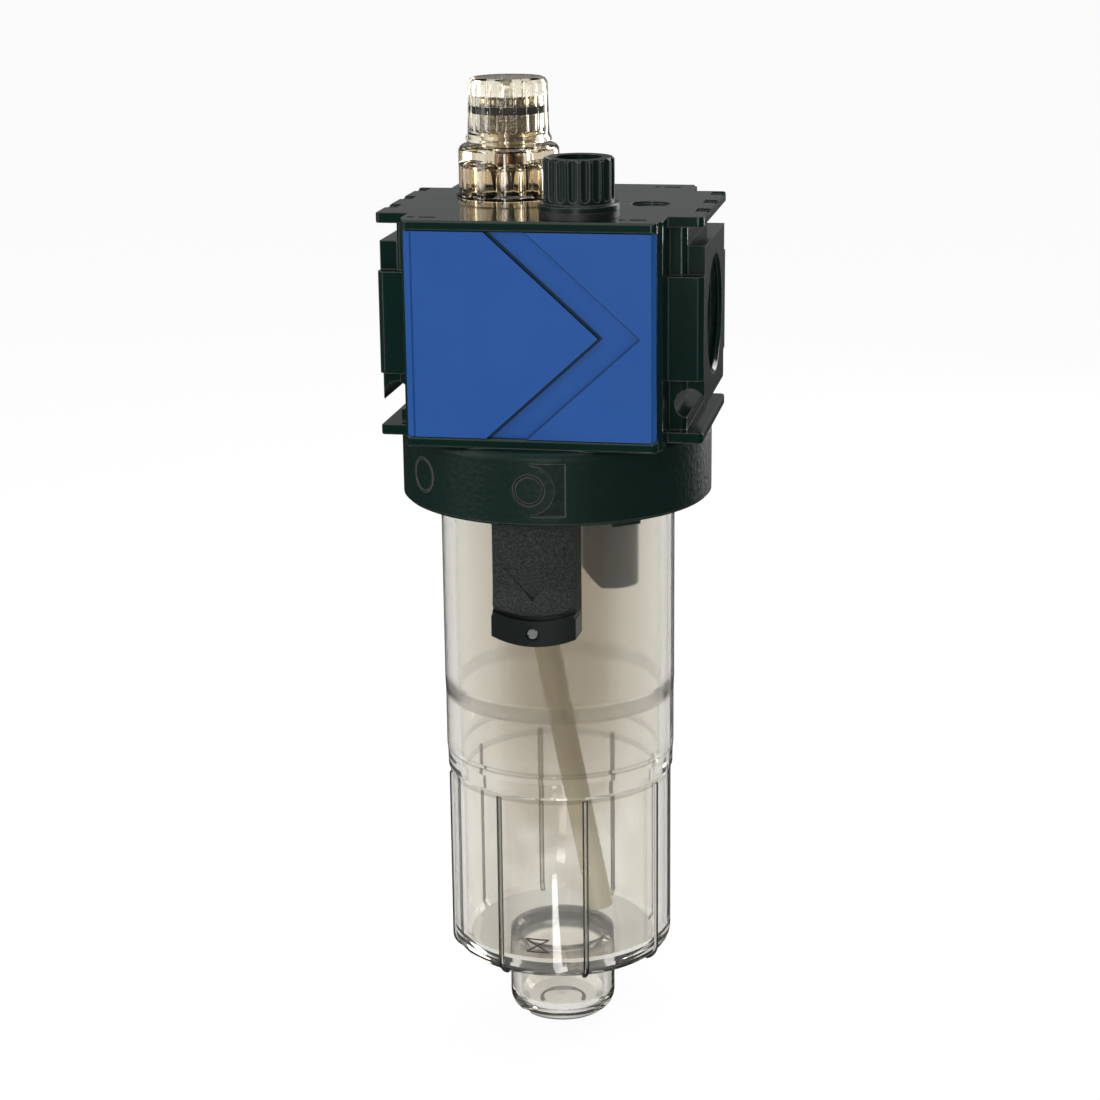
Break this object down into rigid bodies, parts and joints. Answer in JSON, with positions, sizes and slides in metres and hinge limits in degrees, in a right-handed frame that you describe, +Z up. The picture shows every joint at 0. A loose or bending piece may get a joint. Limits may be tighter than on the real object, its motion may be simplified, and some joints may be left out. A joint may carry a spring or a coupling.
{
  "type": "air line lubricator",
  "caption": "Compressed-air line lubricator: cast head with two threaded ports, clear oil bowl with a slide lock, sight dome with drip adjuster and a screw filler plug.",
  "frame": {"origin": "on the port axis, where the inlet port's thread starts just inside its chamfer", "axes": "+X along the air flow from inlet to outlet, +Z up from the bowl to the dome, -Y to the front with the lock slide"},
  "size_m": [0.059, 0.0578, 0.182],
  "materials": {
    "black_casting": "satin, slightly rough",
    "blue_cover": "satin",
    "amber_clear": "clear",
    "water_clear": "clear",
    "black_rubber": "matte",
    "brass": "satin",
    "steel": "satin",
    "black_plastic": "satin",
    "slide_plastic": "fine texture on the grip",
    "pale_plastic": "satin",
    "tube_plastic": "clear"
  },
  "bodies": {
    "head": {"body": "black_casting", "front_cover": "blue_cover", "rear_cover": "blue_cover", "sight_dome": "amber_clear", "dome_seal": "black_rubber", "drip_nozzle": "brass", "knob_seal": "black_rubber", "needle_seal": "black_rubber", "filler_chute": "black_plastic", "flow_insert": "pale_plastic", "flap_pin": "steel", "flap_spring": "steel", "siphon_fitting": "brass", "siphon_ball": "steel", "siphon_tube": "tube_plastic", "bowl_seal": "black_rubber"},
    "knob": {"adjusting_knob": "amber_clear"},
    "needle": {"metering_needle": "steel"},
    "plug_lift": {"plug_seal": "black_rubber"},
    "plug": {"fill_plug": "black_plastic"},
    "flap": {"flow_flap": "steel"},
    "bowl": {"bowl": "water_clear", "lock_spring": "steel"},
    "slide": {"lock_slide": "slide_plastic", "lock_screw": "steel"}
  },
  "joints": [
    {"name": "knob_turn", "type": "hinge", "parent": "head", "child": "knob", "pos_m": [0.0192, 0.0064, 0.036], "axis": [0, 0, 1], "range_deg": [0, 455]},
    {"name": "needle_rise", "type": "slide", "parent": "knob", "child": "needle", "axis": [0, 0, 1], "range_m": [0, 0.001]},
    {"name": "plug_rise", "type": "slide", "parent": "head", "child": "plug_lift", "axis": [0, 0, 1], "range_m": [0, 0.0084]},
    {"name": "plug_turn", "type": "hinge", "parent": "plug_lift", "child": "plug", "pos_m": [0.0366, -0.0185, 0.026], "axis": [0, 0, 1], "range_deg": [0, 2175]},
    {"name": "flap_swing", "type": "hinge", "parent": "head", "child": "flap", "pos_m": [0.0358, 0, 0.00605], "axis": [0, -1, 0], "range_deg": [0, 40], "stiffness_Nm_per_rad": 0.0002, "springref_deg": -20.05, "deforming": ["flap_spring"]},
    {"name": "bowl_turn", "type": "hinge", "parent": "head", "child": "bowl", "pos_m": [0.0289, 0, -0.03], "axis": [0, 0, 1], "range_deg": [0, 40]},
    {"name": "slide_pull", "type": "slide", "parent": "bowl", "child": "slide", "axis": [0, 0, -1], "range_m": [0, 0.004], "stiffness_N_per_m": 1500, "springref_m": -0.003, "deforming": ["lock_spring"]}
  ],
  "couplings": [
    {"joint": "knob_turn", "follows": "needle_rise", "rad_per_m": 7854},
    {"joint": "plug_turn", "follows": "plug_rise", "rad_per_m": 4488}
  ]
}
